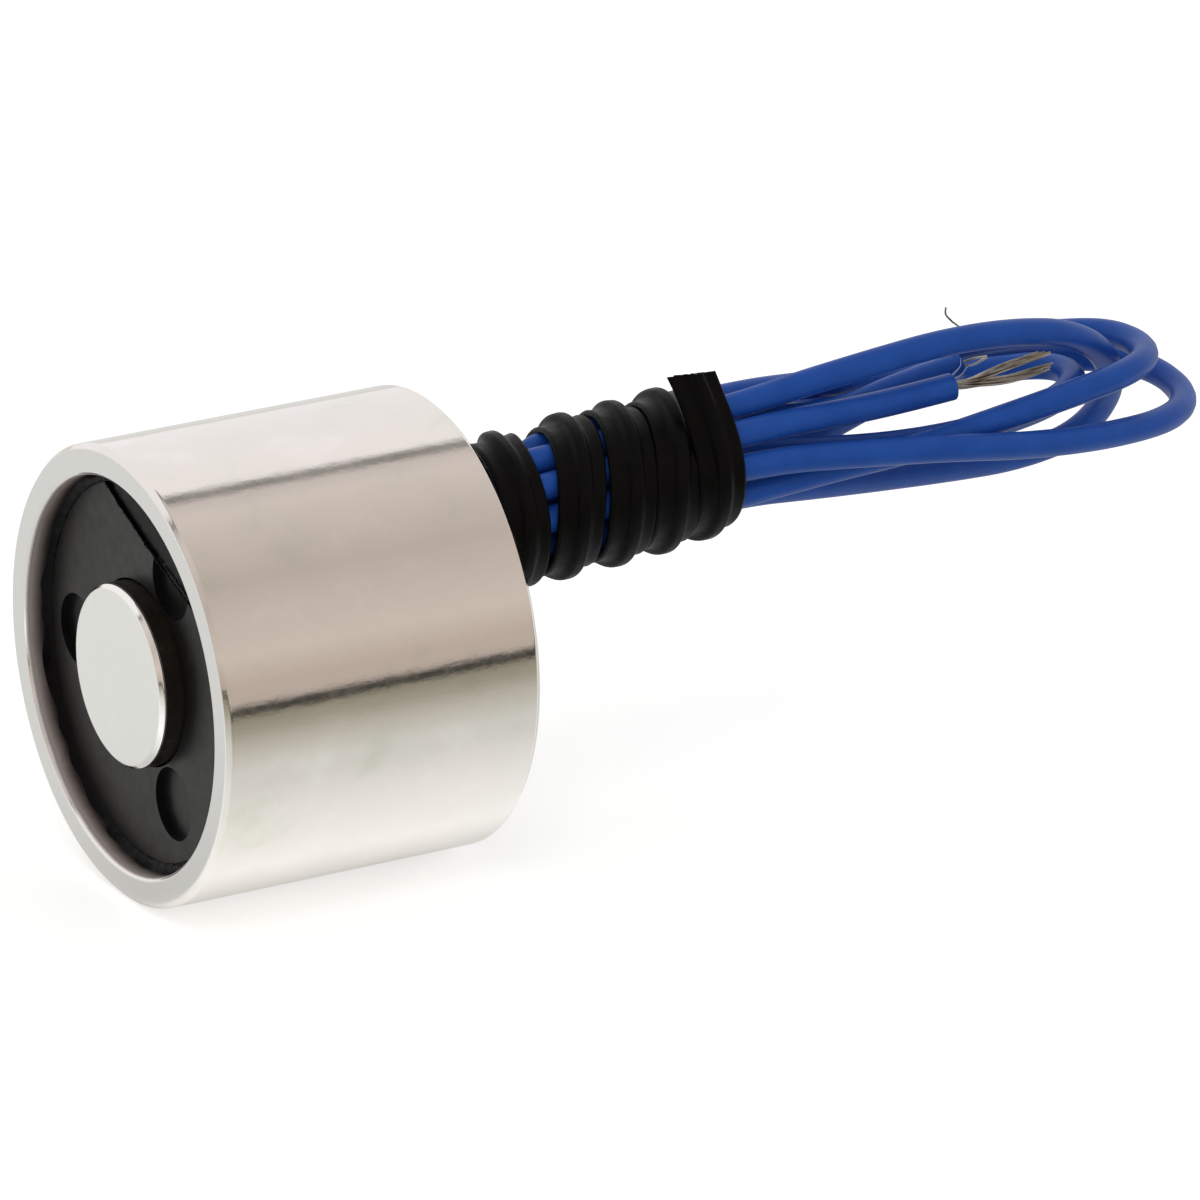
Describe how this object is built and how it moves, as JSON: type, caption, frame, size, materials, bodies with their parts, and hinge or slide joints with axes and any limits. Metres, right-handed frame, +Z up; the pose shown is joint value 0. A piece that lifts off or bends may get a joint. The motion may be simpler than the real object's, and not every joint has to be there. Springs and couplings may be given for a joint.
{
  "type": "electromagnetic gripper holding magnet",
  "caption": "Round pot electromagnet for a robot gripper: flat pole face, threaded hole in the back, and blue leads folded in a hank under a black tie.",
  "frame": {"origin": "centre of the rear face, at the mouth of the threaded hole", "axes": "+X out of the rear face along the threaded hole, away from the pole face; +Z up, towards the leads' exit"},
  "size_m": [0.0514, 0.02, 0.0212],
  "materials": {
    "nickel_plate": "bright nickel plate over turned steel, fine scratches",
    "core_steel": "ground steel face with a nickel-plated side",
    "bobbin_plastic": "charcoal glass-filled plastic, moulded",
    "copper_wire": "enamelled copper",
    "coil_tape": "thin polyester tape",
    "potting_resin": "black cast resin",
    "lead_blue": "satin blue PVC insulation",
    "tinned_copper": "dull tinned copper strands",
    "tie_black": "satin black plastic ribbon",
    "tie_steel": "soft steel wire",
    "solder": "dull solder"
  },
  "bodies": {
    "root": {"housing": "nickel_plate", "core": "core_steel", "bobbin": "bobbin_plastic", "winding": "copper_wire", "coil_tape": "coil_tape", "potting": "potting_resin", "exit_resin": "potting_resin", "lead_1": "lead_blue", "lead_2": "lead_blue", "lead_1_strands": "tinned_copper", "lead_2_strands": "tinned_copper", "lead_tie": "tie_black", "tie_wire": "tie_steel", "solder_joint_1": "solder", "solder_joint_2": "solder", "coil_wire_1": "copper_wire", "coil_wire_2": "copper_wire"}
  },
  "joints": []
}
